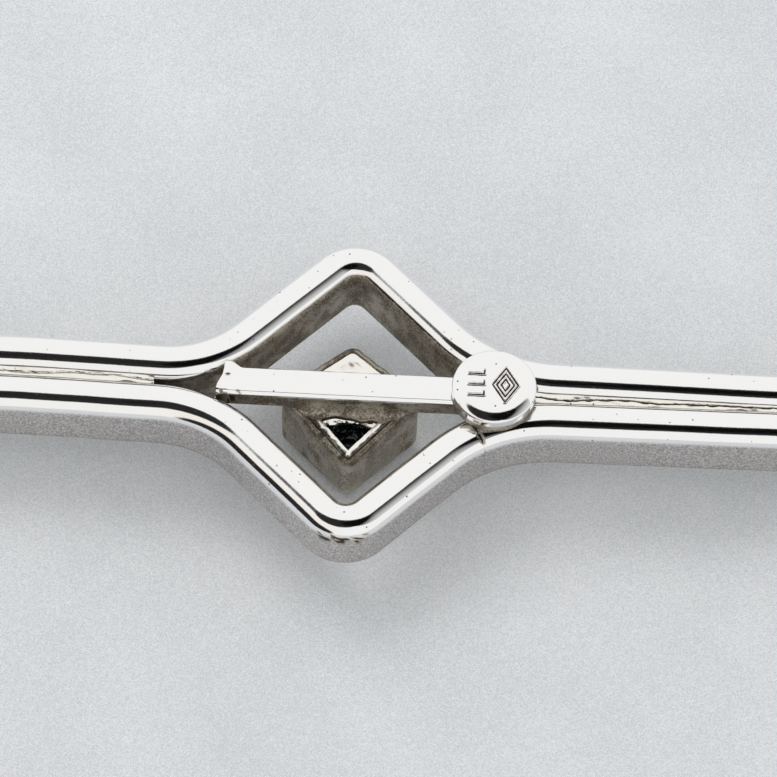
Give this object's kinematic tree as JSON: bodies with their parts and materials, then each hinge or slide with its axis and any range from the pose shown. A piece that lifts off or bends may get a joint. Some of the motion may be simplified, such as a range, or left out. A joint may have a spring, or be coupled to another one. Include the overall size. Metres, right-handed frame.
{
  "type": "bar pin",
  "caption": "Slim silver bar pin of two parallel rails that spread round a square window, with a stone in a box setting, a hinged pin stem and a turning safety catch.",
  "frame": {"origin": "middle of the stone's flat table, the lowest point when the pin lies on its face", "axes": "+X along the bar from the hinge end to the catch end, +Z out of the back of the pin, towards the wearer's cloth"},
  "size_m": [0.0755, 0.0128, 0.0601],
  "materials": {
    "polished_silver": "polished silver with fine pits",
    "tarnished_silver": "matte tarnished silver in the recesses",
    "pin_wire": "drawn spring wire, smooth",
    "dark_stone": "very dark faceted stone, glossy"
  },
  "bodies": {
    "bar": {"frame_wire": "polished_silver", "arm_wire": "polished_silver", "groove_strip_left": "tarnished_silver", "groove_strip_right": "tarnished_silver", "cross_bar": "polished_silver", "hallmark_disc": "polished_silver", "collet": "polished_silver", "stone_seat": "tarnished_silver", "stone": "dark_stone", "hinge_patch": "polished_silver", "hinge_bracket": "polished_silver", "hinge_rivet": "pin_wire", "catch_patch": "polished_silver", "catch_housing": "polished_silver"},
    "stem": {"pin_knuckle": "polished_silver", "pin_stem": "pin_wire"},
    "rotor": {"catch_rotor": "polished_silver", "rotor_lever": "polished_silver"}
  },
  "joints": [
    {"name": "stem_hinge", "type": "hinge", "parent": "bar", "child": "stem", "pos_m": [-0.027, 0, 0.0064], "axis": [0, 1, 0], "range_deg": [0, 108]},
    {"name": "rotor_turn", "type": "hinge", "parent": "bar", "child": "rotor", "pos_m": [0.0265, 0, 0.0064], "axis": [1, 0, 0], "range_deg": [0, 90]}
  ]
}
